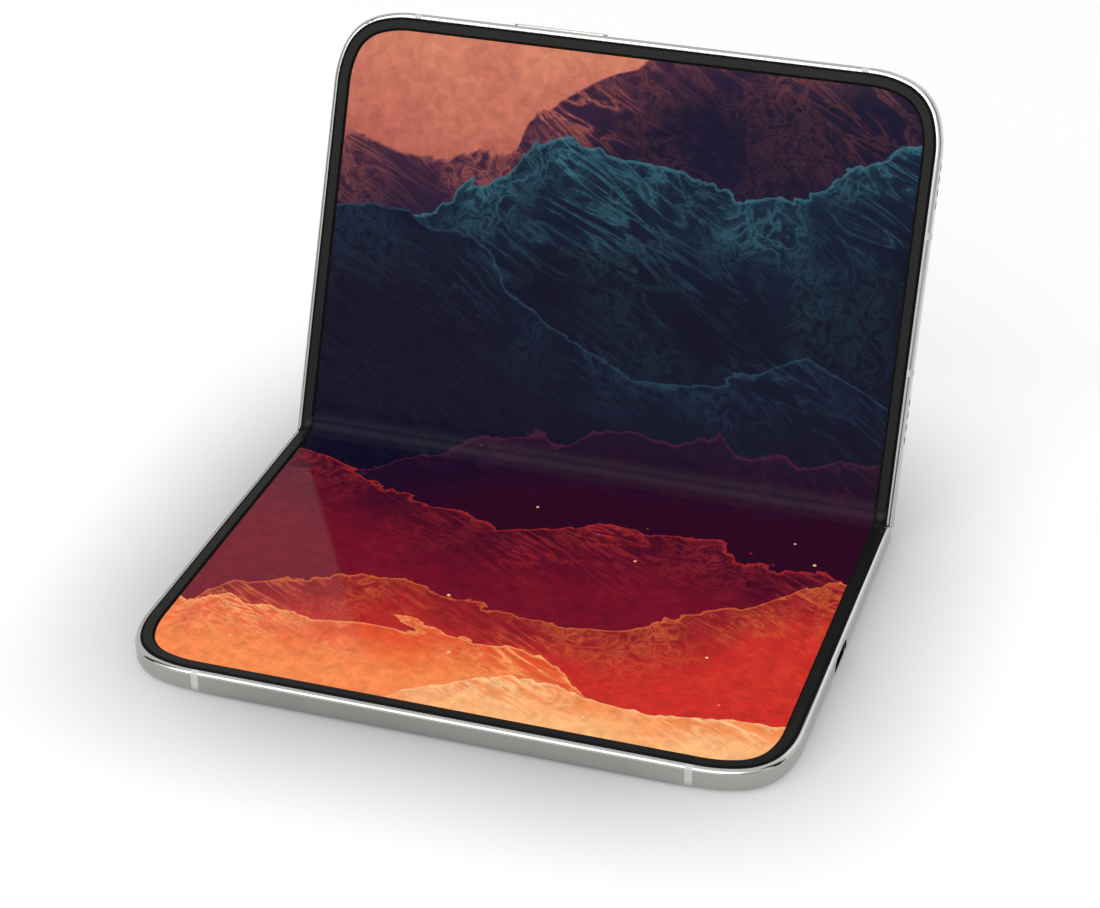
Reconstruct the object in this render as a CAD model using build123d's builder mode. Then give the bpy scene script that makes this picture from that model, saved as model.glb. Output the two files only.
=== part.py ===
"""Foldable phone that opens like a book, shown half open with its lower half lying flat.

Millimetres, +Z up. The origin is the centre of the lower half's underside, +X runs along the hinge
and +Y from the lower half's free edge to the hinge.

Each half is drawn in a plane of its own: local X along the hinge, local Y from the hinge's centre
line towards the free edge, local Z out of the screen, with Z = 0 at the metal frame's lip.
"""

import math
import os

from build123d import *

# ---------------------------------------------------------------- overall size
WIDTH = 120.6
HALF_LENGTH = 85.1
THICKNESS = 4.8
FOLD_ANGLE = 68.0

# ---------------------------------------------------------------- outline of a half
CORNER_SOFT_R = 20.9
CORNER_TIGHT_R = 10.7
CORNER_EASE = 20.0
QUARTER_TURN = 90.0
LIP_WIDTH = 0.9
LIP_ROUND = 0.78
BACK_ROUND = 2.0
WALL = 2.8
POCKET_DEPTH = 0.6
BACK_PANEL = 0.6
BACK_RIM = 2.1
BAND_WIDTH = 1.3
BAND_DEPTH = 1.2

# ---------------------------------------------------------------- hinge
AXIS_SPACING = 3.0
AXIS_DEPTH = 1.2
END_RADIUS = 1.45
END_GAP = 0.05
END_ROUND = 1.8
SPINE_RADIUS = 2.7
SPINE_WALL = 0.4
SPINE_RIM = 0.65
SPINE_INSET = 2.5
CAP = 0.5
CAP_PLUG = 1.6
RUNNING_GAP = 0.1
RAIL_REACH = 5.6
RAIL_TOP = 1.95
RAIL_TIP = 0.5
PANEL_NEAR = 4.6

# ---------------------------------------------------------------- hinge modules
GEAR_X = 30.0
CHEEK = 1.0
GEAR_LENGTH = 2.5
HUB_LENGTH = 5.0
SIDE_GAP = 0.1
TEETH = 12
PITCH_RADIUS = 0.75
TOOTH_ADDENDUM = 0.10
TOOTH_DEDENDUM = 0.15
TOOTH_TIP = 5.5
TOOTH_ROOT = 19.0
HUB_RADIUS = 0.85
SHAFT_RADIUS = 0.42
SHAFT_GAP = 0.04
PIN_RADIUS = 0.25
CHEEK_HALF = 2.3
SEAT_GAP = 0.05
BLADE_THICKNESS = 0.65
BLADE_REACH = 12.8

# ---------------------------------------------------------------- inner screen
DISPLAY_DEPTH = 0.10
DISPLAY_THICKNESS = 0.35
DISPLAY_MARGIN = 1.4
BACKING_THICKNESS = 0.15
FOLD_RADIUS = 3.8
FOLD_REACH = 14.0
BEZEL_OUTER = 0.95
BEZEL_WIDTH = 2.55
BEZEL_RISE = 0.25
BEZEL_SLOPE = 0.5
BEZEL_REACH = 3.6

# ---------------------------------------------------------------- plates, boards, cells
MIDPLATE = 0.5
FOLD_PLATE_NEAR = 2.6
PLATE_GAP = 0.1
INNER_GAP = 0.9
BOARD = 0.8
LOWER_BOARD_WIDTH = 18.0
UPPER_BOARD_WIDTH = 34.0
SHIELD_HEIGHT = 1.6
SHIELD_MARGIN = 4.6
SHIELD_GAP = 1.2
CELL_THICKNESS = 2.8
CELL_INSET = 15.6
CELL_ROUND = 1.2
SPEAKER_WIDTH = 9.0
SPEAKER_LENGTH = 12.0
MOTOR_LENGTH = 14.0
MOTOR_WIDTH = 7.0
COIL_OUTER = 22.0
COIL_INNER = 10.0
COIL_THICKNESS = 0.3
FLEX_DEPTH = 1.25
FLEX_THICKNESS = 0.15
FLEX_WIDTH = 18.0
FLEX_END = 16.6
FLEX_PLUG = 2.0
FLEX_PLUG_THICKNESS = 0.7

# ---------------------------------------------------------------- ports and keys
USB_WIDTH = 8.94
USB_HEIGHT = 3.16
USB_WALL = 0.3
USB_LENGTH = 7.3
USB_RECESS = 0.25
USB_GAP = 0.05
TONGUE_WIDTH = 6.69
TONGUE_HEIGHT = 0.7
TONGUE_LENGTH = 5.6
SLOT_LENGTH = 1.45
SLOT_HEIGHT = 0.95
SLOT_CORNER = 0.3
SLOT_PITCH = 2.4
SLOT_COUNT = 4
SLOT_INSET = 20.35
SIDE_BAND = 12.9
FREE_BAND_X = 44.3
MESH = 0.15

KEY_PROUD = 0.35
KEY_TRAVEL = 0.25
KEY_HEIGHT = 2.0
KEY_GAP = 0.06
KEY_FLANGE = 0.4
KEY_FLANGE_LIP = 0.18
KEY_EDGE = 0.15
POWER_KEY_X = -15.85
POWER_KEY_LENGTH = 18.7
VOLUME_KEY_Y = 45.9
VOLUME_KEY_LENGTH = 13.7
SWITCH_LENGTH = 3.2
SWITCH_DEPTH = 0.7

# ---------------------------------------------------------------- cameras on the outer sides
PLATEAU_SIZE = 33.0
PLATEAU_ROUND = 10.0
PLATEAU_HEIGHT = 1.4
PLATEAU_EDGE = 0.5
PLATEAU_INSET = 5.7
LENS_OFFSET = 7.6
RING_RADIUS = 6.3
RING_WALL = 1.0
RING_HEIGHT = 0.9
RING_EDGE = 0.25
LENS_GLASS = 0.4
BARREL_RADIUS = 4.6
BARREL_GAP = 0.2
CAMERA_BODY = 9.4
FLASH_RADIUS = 2.2
COVER_CAMERA_INSET = 8.8
COVER_CAMERA_R = 3.0
COVER_BARREL_R = 1.9
COVER_DISPLAY = 0.17
COVER_MARGIN = 3.1

# ---------------------------------------------------------------- derived places
HALF_ANGLE = FOLD_ANGLE / 2
SIDE_X = WIDTH / 2
SPINE_HALF = SIDE_X - SPINE_INSET
AXIS_Y = AXIS_SPACING / 2
HINGE_Y = HALF_LENGTH / 2
FLOOR = THICKNESS - BACK_PANEL
SIDE_DEPTH = THICKNESS / 2
MIDDLE_Y = HALF_LENGTH / 2
MIDPLATE_UNDER = POCKET_DEPTH + MIDPLATE
BLADE_TOP = MIDPLATE_UNDER
CAVITY_DEPTH = FLOOR - MIDPLATE_UNDER
SPINE_INNER = SPINE_RADIUS - SPINE_WALL
SPINE_CUT_HALF = SPINE_HALF + RUNNING_GAP + SEAT_GAP
CHEEK_X = GEAR_X + GEAR_LENGTH + SIDE_GAP
HUB_X = CHEEK_X + CHEEK + SIDE_GAP
BRACKET_LENGTH = 2 * CHEEK + HUB_LENGTH + 2 * SIDE_GAP
SHAFT_LENGTH = GEAR_LENGTH + SIDE_GAP + BRACKET_LENGTH
IDLER_Y = PITCH_RADIUS
IDLER_DROP = math.sqrt((2 * PITCH_RADIUS) ** 2 - (AXIS_Y - IDLER_Y) ** 2)
HALF_TAN = math.tan(math.radians(HALF_ANGLE))
HALF_COS = math.cos(math.radians(HALF_ANGLE))
HALF_SIN = math.sin(math.radians(HALF_ANGLE))
KINK_Y = AXIS_Y - (AXIS_Y - AXIS_DEPTH * HALF_SIN) / HALF_COS
FOLD_CENTRE_Z = FOLD_RADIUS - DISPLAY_DEPTH
FOLD_CENTRE_Y = KINK_Y + FOLD_CENTRE_Z * HALF_TAN
BACKING_DEPTH = DISPLAY_DEPTH + DISPLAY_THICKNESS
CAVITY_X = SIDE_X - WALL
INNER_NEAR_Y = FLEX_END + INNER_GAP
CELL_LENGTH = HALF_LENGTH - CELL_INSET - INNER_NEAR_Y
CELL_Y = INNER_NEAR_Y + CELL_LENGTH / 2
LOWER_BOARD_X = INNER_GAP + LOWER_BOARD_WIDTH / 2 - CAVITY_X
UPPER_BOARD_X = 2 * INNER_GAP + UPPER_BOARD_WIDTH / 2 - CAVITY_X
SPEAKER_X = CAVITY_X - MESH - SPEAKER_WIDTH / 2
SLOT_GROUP = MIDDLE_Y - SLOT_INSET
PLATEAU_X = PLATEAU_INSET + PLATEAU_SIZE / 2 - SIDE_X
PLATEAU_Y = HALF_LENGTH - PLATEAU_INSET - PLATEAU_SIZE / 2
UPPER_BOARD_END = PLATEAU_Y - LENS_OFFSET - CAMERA_BODY / 2 - INNER_GAP
UPPER_BOARD_LENGTH = UPPER_BOARD_END - INNER_NEAR_Y
UPPER_BOARD_Y = INNER_NEAR_Y + UPPER_BOARD_LENGTH / 2
COVER_CAMERA_X = SIDE_X - COVER_CAMERA_INSET


# ---------------------------------------------------------------- planes of the three bodies
def turned(degrees):
    """Direction across the hinge, turned up from the flat by an angle."""
    return Vector(0, math.cos(math.radians(degrees)), math.sin(math.radians(degrees)))


lower_axis = Vector(0, HINGE_Y - AXIS_Y, THICKNESS - AXIS_DEPTH)
upper_axis = lower_axis + turned(HALF_ANGLE) * AXIS_SPACING
upper_origin = upper_axis - turned(FOLD_ANGLE) * AXIS_Y + turned(FOLD_ANGLE + 90) * AXIS_DEPTH

LOWER = Plane(origin=(0, HINGE_Y, THICKNESS), x_dir=(-1, 0, 0), z_dir=(0, 0, 1))
UPPER = Plane(origin=upper_origin, x_dir=(1, 0, 0), z_dir=turned(FOLD_ANGLE + 90))
SPINE = Plane(
    origin=(lower_axis + upper_axis) / 2,
    x_dir=(1, 0, 0),
    z_dir=turned(HALF_ANGLE + 90),
)


def side_plane(body, x=0.0):
    """Plane square to the hinge at `x`: its X runs across the hinge and its Y out of the screen."""
    return Plane(origin=body.from_local_coords((x, 0, 0)), x_dir=body.y_dir, z_dir=body.x_dir)


def up_axis(body):
    return Axis(body.origin, body.z_dir)


def away_axis(body):
    return Axis(body.origin, body.y_dir)


def keep(part, name):
    """Label a finished piece and write it under its own name."""
    part.label = name
    export_step(part, f"parts/{name}.step")


# ---------------------------------------------------------------- shared profiles
def corner_reach(soft, tight):
    """Length of side that a corner of three arcs takes up."""
    ease = math.radians(CORNER_EASE)
    return soft * (math.sin(ease) + 1 - math.cos(ease)) + tight * (math.cos(ease) - math.sin(ease))


class HalfOutline(BaseSketchObject):
    """Outline of a half, `inset` from its outer edge, from `near` the hinge to the free edge."""

    def __init__(self, inset, near, mode=Mode.ADD):
        side = WIDTH / 2 - inset
        far = HALF_LENGTH - inset
        soft = CORNER_SOFT_R - inset
        tight = CORNER_TIGHT_R - inset
        with BuildSketch() as outline:
            with BuildLine():
                edge = Line((side, near), (side, far - corner_reach(soft, tight)))
                enter = JernArc(edge @ 1, edge % 1, soft, CORNER_EASE)
                turn = JernArc(enter @ 1, enter % 1, tight, QUARTER_TURN - 2 * CORNER_EASE)
                leave = JernArc(turn @ 1, turn % 1, soft, CORNER_EASE)
                mirror(about=Plane.YZ)
                Line(leave @ 1, (-(leave @ 1).X, far))
                Line((-side, near), (side, near))
            make_face()
        super().__init__(outline.sketch, mode=mode)


class FoldSection(BaseSketchObject):
    """Section of a sheet `depth` below the lip: flat from `reach`, then its half of the bend."""

    def __init__(self, depth, thickness, reach, mode=Mode.ADD):
        centre = (FOLD_CENTRE_Y, FOLD_CENTRE_Z)
        bottom = depth + thickness
        with BuildSketch() as section:
            with BuildLine():
                near_face = Line((reach, -depth), (FOLD_CENTRE_Y, -depth))
                far_face = Line((reach, -bottom), (FOLD_CENTRE_Y, -bottom))
                near_bend = CenterArc(centre, FOLD_CENTRE_Z + depth, 270, -HALF_ANGLE)
                far_bend = CenterArc(centre, FOLD_CENTRE_Z + bottom, 270, -HALF_ANGLE)
                Line(near_bend @ 1, far_bend @ 1)
                Line(near_face @ 0, far_face @ 0)
            make_face()
        super().__init__(section.sketch, mode=mode)


class GearFace(BaseSketchObject):
    """Face of a small spur gear with straight flanks, its first tooth turned by `phase`."""

    def __init__(self, phase, mode=Mode.ADD):
        root = PITCH_RADIUS - TOOTH_DEDENDUM
        tip = PITCH_RADIUS + TOOTH_ADDENDUM
        points = []
        for tooth in range(TEETH):
            middle = phase + tooth * 360 / TEETH
            points += [
                polar(root, middle - TOOTH_ROOT / 2),
                polar(tip, middle - TOOTH_TIP / 2),
                polar(tip, middle + TOOTH_TIP / 2),
                polar(root, middle + TOOTH_ROOT / 2),
            ]
        with BuildSketch() as face:
            with BuildLine():
                Polyline(*points, close=True)
            make_face()
        super().__init__(face.sketch, mode=mode)


def polar(radius, degrees):
    return (radius * math.cos(math.radians(degrees)), radius * math.sin(math.radians(degrees)))


# ---------------------------------------------------------------- frame of a half
def spine_room(body):
    """Room for the spine in a half, round about the half's own axis and flat between the axes."""
    radius = SPINE_RADIUS + RUNNING_GAP
    with BuildPart() as room:
        with BuildSketch(side_plane(body, -SPINE_CUT_HALF)):
            with Locations((0, -AXIS_DEPTH)):
                SlotCenterToCenter(AXIS_SPACING, 2 * radius)
        extrude(amount=2 * SPINE_CUT_HALF)
    return room.part


def hinge_end_trim(body):
    """What is cut off a half's hinge end so that the two halves roll past each other."""
    with BuildPart() as trim:
        with BuildSketch(side_plane(body, -SIDE_X)):
            with Locations((-AXIS_Y, -THICKNESS / 2)):
                Rectangle(4 * AXIS_Y, 2 * THICKNESS)
            with Locations((AXIS_Y, -AXIS_DEPTH)):
                Circle(END_RADIUS, mode=Mode.SUBTRACT)
            with BuildLine():
                FilletPolyline(
                    (AXIS_Y + END_ROUND, -AXIS_DEPTH),
                    (END_GAP, -AXIS_DEPTH),
                    (END_GAP, -THICKNESS),
                    (AXIS_Y + END_ROUND, -THICKNESS),
                    radius=(0, END_ROUND),
                )
                Line((AXIS_Y + END_ROUND, -THICKNESS), (AXIS_Y + END_ROUND, -AXIS_DEPTH))
            make_face(mode=Mode.SUBTRACT)
        extrude(amount=WIDTH)
    return trim.part


def half_frame(body):
    """Polished metal frame of a half, with the rail beside the spine and the back panel's seat."""
    with BuildPart() as frame:
        with BuildSketch(body.offset(-THICKNESS)):
            HalfOutline(0, 0)
        extrude(amount=THICKNESS)
        lip = frame.edges().group_by(up_axis(body))[-1].sort_by(away_axis(body))[1:]
        fillet(lip, LIP_ROUND)
        back = frame.edges().group_by(up_axis(body))[0].sort_by(away_axis(body))[1:]
        fillet(back, BACK_ROUND)
        with BuildSketch(body.offset(-POCKET_DEPTH)):
            HalfOutline(LIP_WIDTH, -AXIS_Y)
        extrude(amount=THICKNESS, mode=Mode.SUBTRACT)
        with BuildSketch(body.offset(-FLOOR)):
            HalfOutline(WALL, RAIL_REACH)
        extrude(amount=THICKNESS, mode=Mode.SUBTRACT)
        with BuildSketch(body.offset(-THICKNESS)):
            HalfOutline(BACK_RIM, PANEL_NEAR)
        extrude(amount=BACK_PANEL, mode=Mode.SUBTRACT)
        with BuildSketch(body.offset(-RAIL_TOP)):
            with Locations((0, RAIL_REACH / 2)):
                Rectangle(2 * SPINE_CUT_HALF, 2 * RAIL_REACH)
        extrude(amount=THICKNESS, mode=Mode.SUBTRACT)
        add(spine_room(body), mode=Mode.SUBTRACT)
        add(hinge_end_trim(body), mode=Mode.SUBTRACT)
        with BuildSketch(body.offset(-THICKNESS)):
            Rectangle(2 * SPINE_CUT_HALF, 2 * RAIL_TIP)
        extrude(amount=THICKNESS, mode=Mode.SUBTRACT)
    return frame.part


def band_space(body, places):
    """Slabs through a frame's outer skin where its plastic bands lie: (x, y, along) for each."""
    with BuildPart() as slabs:
        with BuildSketch(body.offset(-2 * THICKNESS)):
            for x, y, along in places:
                with Locations((x, y)):
                    if along:
                        Rectangle(2 * WALL, BAND_WIDTH)
                    else:
                        Rectangle(BAND_WIDTH, 2 * WALL)
            HalfOutline(BAND_DEPTH, 0, mode=Mode.SUBTRACT)
        extrude(amount=3 * THICKNESS)
    return slabs.part


FREE_BANDS = [(x, HALF_LENGTH, False) for x in (-FREE_BAND_X, FREE_BAND_X)]
SIDE_BANDS = [(SIDE_X, MIDDLE_Y + y, True) for y in (-SIDE_BAND, SIDE_BAND)]


def band_inserts(frame, slabs):
    """Plastic inserts that fill the slabs flush with the frame's surface."""
    with BuildPart() as inserts:
        add(frame)
        add(slabs, mode=Mode.INTERSECT)
    return inserts.part


# ---------------------------------------------------------------- plates and screen of a half
def midplate(body, notches=()):
    """Inner plate of a half, with notches at (x, y, length, width)."""
    with BuildPart() as plate:
        with BuildSketch(body.offset(-MIDPLATE_UNDER)):
            HalfOutline(WALL, FOLD_REACH)
            for x, y, length, width in notches:
                with Locations((x, y)):
                    Rectangle(length, width, mode=Mode.SUBTRACT)
        extrude(amount=MIDPLATE)
    return plate.part


def fold_plate(body):
    """Plate beside the fold, carried by the hinge arms, that backs the bending screen."""
    length = FOLD_REACH - PLATE_GAP - FOLD_PLATE_NEAR
    with BuildPart() as plate:
        with BuildSketch(body.offset(-MIDPLATE_UNDER)):
            with Locations((0, FOLD_PLATE_NEAR + length / 2)):
                Rectangle(2 * CAVITY_X - 2 * PLATE_GAP, length)
        extrude(amount=MIDPLATE)
    return plate.part


def screen_sheet(body, depth, thickness):
    """Flat layer of the inner screen on one half."""
    with BuildPart() as sheet:
        with BuildSketch(body.offset(-depth - thickness)):
            HalfOutline(DISPLAY_MARGIN, FOLD_REACH)
        extrude(amount=thickness)
    return sheet.part


def half_bezel(body):
    """Raised border of the inner screen, with sloping inner and outer flanks."""
    inner = BEZEL_OUTER + BEZEL_WIDTH
    with BuildPart() as bezel:
        with BuildSketch(body.offset(-DISPLAY_DEPTH)):
            HalfOutline(BEZEL_OUTER, BEZEL_REACH)
        with BuildSketch(body.offset(BEZEL_RISE)):
            HalfOutline(BEZEL_OUTER + BEZEL_SLOPE, BEZEL_REACH)
        loft(ruled=True)
        with BuildSketch(body.offset(-DISPLAY_DEPTH)):
            HalfOutline(inner, -AXIS_Y)
        with BuildSketch(body.offset(BEZEL_RISE)):
            HalfOutline(inner - BEZEL_SLOPE, -AXIS_Y)
        loft(ruled=True, mode=Mode.SUBTRACT)
    return bezel.part


def display_fold(body):
    """Bending zone of the screen, up to the middle of the fold."""
    with BuildPart() as sheet:
        with BuildSketch(side_plane(body)):
            FoldSection(DISPLAY_DEPTH, DISPLAY_THICKNESS, FOLD_REACH)
        extrude(amount=SIDE_X - DISPLAY_MARGIN, both=True)
    return sheet.part


def bezel_fold(body):
    """Soft ends of the border beside the fold, one at each side."""
    rise = BEZEL_RISE + DISPLAY_DEPTH
    inner = SIDE_X - BEZEL_OUTER - BEZEL_WIDTH
    with BuildPart() as strips:
        with BuildSketch(side_plane(body, inner)):
            FoldSection(-BEZEL_RISE, rise, BEZEL_REACH)
        extrude(amount=BEZEL_WIDTH)
        mirror(about=side_plane(body))
    return strips.part


def hinge_flex(body):
    """Printed cable that crosses the hinge between the two modules, with its plug on one half."""
    with BuildPart() as cable:
        with BuildSketch(side_plane(body, -FLEX_WIDTH / 2)):
            FoldSection(FLEX_DEPTH, FLEX_THICKNESS, FLEX_END)
        extrude(amount=FLEX_WIDTH)
        with BuildSketch(body.offset(-MIDPLATE_UNDER)):
            with Locations((0, FLEX_END - FLEX_PLUG / 2)):
                Rectangle(FLEX_WIDTH - 2 * FLEX_PLUG, FLEX_PLUG)
        extrude(amount=-FLEX_PLUG_THICKNESS)
    return cable.part


def back_panel(body, holes=()):
    """Glass of a half's outer side, set into the frame; holes at (x, y, radius)."""
    with BuildPart() as panel:
        with BuildSketch(body.offset(-THICKNESS)):
            HalfOutline(BACK_RIM, PANEL_NEAR)
            for x, y, radius in holes:
                with Locations((x, y)):
                    Circle(radius, mode=Mode.SUBTRACT)
        extrude(amount=BACK_PANEL)
    return panel.part


def hung_blocks(body, places, length, width, height):
    """Blocks that hang from a half's midplate: `length` along the hinge."""
    with BuildPart() as blocks:
        with BuildSketch(body.offset(-MIDPLATE_UNDER)):
            with Locations(*places):
                Rectangle(length, width)
        extrude(amount=-height)
    return blocks.part


def cell(body, start, end, height):
    """Battery cell with rounded long edges, from `start` to `end` along the hinge."""
    with BuildPart() as pouch:
        with BuildSketch(body.offset(-MIDPLATE_UNDER)):
            with Locations(((start + end) / 2, CELL_Y)):
                RectangleRounded(end - start, CELL_LENGTH, CELL_ROUND)
        extrude(amount=-height)
    return pouch.part


# ---------------------------------------------------------------- hinge modules
def swing_arms(body, phase):
    """Hinge arms of a half: a blade fixed to its fold plate, a hub, and a shaft with teeth."""
    with BuildPart() as arms:
        with BuildSketch(side_plane(body, GEAR_X)):
            with Locations((AXIS_Y, -AXIS_DEPTH)):
                Circle(SHAFT_RADIUS)
        extrude(amount=SHAFT_LENGTH)
        with BuildSketch(side_plane(body, GEAR_X)):
            with Locations((AXIS_Y, -AXIS_DEPTH)):
                GearFace(phase)
        extrude(amount=GEAR_LENGTH)
        with BuildSketch(side_plane(body, HUB_X)):
            with Locations((AXIS_Y, -AXIS_DEPTH)):
                Circle(HUB_RADIUS)
            with Locations(((AXIS_Y + BLADE_REACH) / 2, -BLADE_TOP - BLADE_THICKNESS / 2)):
                Rectangle(BLADE_REACH - AXIS_Y, BLADE_THICKNESS)
        extrude(amount=HUB_LENGTH)
        mirror(about=side_plane(body))
    return arms.part


def spine_section(radius):
    """Section of the spine's trough at a radius about both axes, open above its rim."""
    with BuildSketch() as section:
        SlotCenterToCenter(AXIS_SPACING, 2 * radius)
        with Locations((0, radius - SPINE_RIM)):
            Rectangle(2 * (AXIS_SPACING + radius), 2 * radius, mode=Mode.SUBTRACT)
    return section.sketch


def bracket(side):
    """Bearing block of a hinge module: two cheeks with half-round seats on a foot, and two pins."""
    foot = SPINE_INNER - SEAT_GAP
    near_plane = side_plane(SPINE, side * CHEEK_X)
    with BuildPart() as block:
        with BuildSketch(near_plane):
            SlotCenterToCenter(AXIS_SPACING, 2 * foot)
            with Locations((0, -foot / 2)):
                Rectangle(2 * CHEEK_HALF, foot, mode=Mode.INTERSECT)
            with Locations((-AXIS_Y, 0), (AXIS_Y, 0)):
                Circle(SHAFT_RADIUS + SHAFT_GAP, mode=Mode.SUBTRACT)
        extrude(amount=side * BRACKET_LENGTH)
        with BuildSketch(side_plane(SPINE, side * (HUB_X + HUB_LENGTH / 2))):
            with Locations((0, SPINE_INNER - HUB_RADIUS - RUNNING_GAP)):
                Rectangle(4 * SPINE_INNER, 2 * SPINE_INNER)
        extrude(amount=HUB_LENGTH / 2 + SIDE_GAP, both=True, mode=Mode.SUBTRACT)
        with BuildSketch(near_plane):
            with Locations((-IDLER_Y, -IDLER_DROP), (IDLER_Y, -IDLER_DROP)):
                Circle(PIN_RADIUS)
        extrude(amount=-side * (GEAR_LENGTH + SIDE_GAP))
    return block.part


def idler_gears(place, phase):
    """One idler gear in each module, on a pin of its bracket."""
    with BuildPart() as gears:
        with BuildSketch(side_plane(SPINE, GEAR_X)):
            with Locations((place, -IDLER_DROP)):
                GearFace(phase)
                Circle(PIN_RADIUS + SHAFT_GAP, mode=Mode.SUBTRACT)
        extrude(amount=GEAR_LENGTH)
        mirror(about=side_plane(SPINE))
    return gears.part


# ---------------------------------------------------------------- keys
def key_plane(middle, outward):
    """Plane on the frame's outer side behind a key: its X along the key, its Z outward."""
    return Plane(
        origin=UPPER.from_local_coords((*middle, -SIDE_DEPTH)),
        x_dir=outward.cross(UPPER.z_dir),
        z_dir=outward,
    )


POWER_SIDE = key_plane((POWER_KEY_X, HALF_LENGTH), UPPER.y_dir)
VOLUME_SIDE = key_plane((-SIDE_X, VOLUME_KEY_Y), -UPPER.x_dir)


def key_slot(plane, length):
    """Opening that a key runs in."""
    with BuildPart() as slot:
        with BuildSketch(plane.offset(-2 * WALL)):
            SlotOverall(length + 2 * KEY_GAP, KEY_HEIGHT + 2 * KEY_GAP)
        extrude(amount=3 * WALL)
    return slot.part


def side_key(plane, length):
    """Key with rounded ends and a flange that keeps it behind the frame's wall."""
    with BuildPart() as key:
        with BuildSketch(plane.offset(-WALL - KEY_GAP)):
            SlotOverall(length, KEY_HEIGHT)
        extrude(amount=WALL + KEY_GAP + KEY_PROUD)
        chamfer(key.faces().sort_by(Axis(plane.origin, plane.z_dir))[-1].edges(), KEY_EDGE)
        with BuildSketch(plane.offset(-WALL - KEY_GAP - KEY_FLANGE)):
            Rectangle(length + 2 * KEY_FLANGE_LIP, KEY_HEIGHT + 2 * KEY_FLANGE_LIP)
        extrude(amount=KEY_FLANGE)
    return key.part


# ================================================================ the pieces
os.makedirs("parts", exist_ok=True)

LENSES = [
    (PLATEAU_X - LENS_OFFSET, PLATEAU_Y - LENS_OFFSET),
    (PLATEAU_X - LENS_OFFSET, PLATEAU_Y + LENS_OFFSET),
    (PLATEAU_X + LENS_OFFSET, PLATEAU_Y + LENS_OFFSET),
]
FLASH = (PLATEAU_X + LENS_OFFSET, PLATEAU_Y - LENS_OFFSET)
USB_NOTCH_X = USB_RECESS + USB_LENGTH + USB_GAP

# ---------------------------------------------------------------- lower half: frame
whole_lower = half_frame(LOWER)
lower_slabs = band_space(LOWER, FREE_BANDS)
keep(band_inserts(whole_lower, lower_slabs), "lower_antenna_bands")

with BuildPart() as lower_frame:
    add(whole_lower)
    add(lower_slabs, mode=Mode.SUBTRACT)
    with BuildSketch(side_plane(LOWER, -SIDE_X)):
        with Locations((MIDDLE_Y, -SIDE_DEPTH)):
            SlotOverall(USB_WIDTH + 2 * USB_GAP, USB_HEIGHT + 2 * USB_GAP)
    extrude(amount=2 * WALL, mode=Mode.SUBTRACT)
keep(lower_frame.part, "lower_frame")

# ---------------------------------------------------------------- lower half: port
with BuildPart() as usb_receptacle:
    with BuildSketch(side_plane(LOWER, USB_RECESS - SIDE_X)):
        with Locations((MIDDLE_Y, -SIDE_DEPTH)):
            SlotOverall(USB_WIDTH, USB_HEIGHT)
    extrude(amount=USB_LENGTH)
    with BuildSketch(side_plane(LOWER, USB_RECESS - SIDE_X)):
        with Locations((MIDDLE_Y, -SIDE_DEPTH)):
            SlotOverall(USB_WIDTH - 2 * USB_WALL, USB_HEIGHT - 2 * USB_WALL)
    extrude(amount=USB_LENGTH - USB_WALL, mode=Mode.SUBTRACT)
keep(usb_receptacle.part, "usb_receptacle")

with BuildPart() as usb_tongue:
    with BuildSketch(side_plane(LOWER, USB_RECESS + USB_LENGTH - USB_WALL - TONGUE_LENGTH - SIDE_X)):
        with Locations((MIDDLE_Y, -SIDE_DEPTH)):
            RectangleRounded(TONGUE_WIDTH, TONGUE_HEIGHT, TONGUE_HEIGHT / 3)
    extrude(amount=TONGUE_LENGTH)
keep(usb_tongue.part, "usb_tongue")

# ---------------------------------------------------------------- lower half: plates and screen
usb_notch = (USB_NOTCH_X / 2 - SIDE_X, MIDDLE_Y, USB_NOTCH_X, USB_WIDTH + 4 * USB_GAP)
keep(midplate(LOWER, [usb_notch]), "lower_midplate")
keep(fold_plate(LOWER), "lower_fold_plate")
keep(screen_sheet(LOWER, BACKING_DEPTH, BACKING_THICKNESS), "lower_screen_backing")
keep(screen_sheet(LOWER, DISPLAY_DEPTH, DISPLAY_THICKNESS), "lower_display_panel")
keep(half_bezel(LOWER), "lower_bezel")
keep(display_fold(LOWER), "display_fold_lower")
keep(bezel_fold(LOWER), "bezel_fold_lower")
keep(hinge_flex(LOWER), "hinge_flex_lower")

# ---------------------------------------------------------------- lower half: outer screen
keep(back_panel(LOWER), "cover_glass")

with BuildPart() as cover_display:
    with BuildSketch(LOWER.offset(-FLOOR)):
        HalfOutline(COVER_MARGIN, RAIL_REACH + PLATE_GAP)
        with Locations((COVER_CAMERA_X, MIDDLE_Y)):
            Circle(COVER_BARREL_R + SEAT_GAP, mode=Mode.SUBTRACT)
    extrude(amount=COVER_DISPLAY)
keep(cover_display.part, "cover_display")

with BuildPart() as cover_camera:
    with BuildSketch(LOWER.offset(-FLOOR)):
        with Locations((COVER_CAMERA_X, MIDDLE_Y)):
            Circle(COVER_BARREL_R)
    extrude(amount=2 * COVER_DISPLAY)
    with BuildSketch(LOWER.offset(-MIDPLATE_UNDER)):
        with Locations((COVER_CAMERA_X, MIDDLE_Y)):
            Circle(COVER_CAMERA_R)
    extrude(amount=-(CAVITY_DEPTH - 2 * COVER_DISPLAY))
keep(cover_camera.part, "cover_camera")

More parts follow.
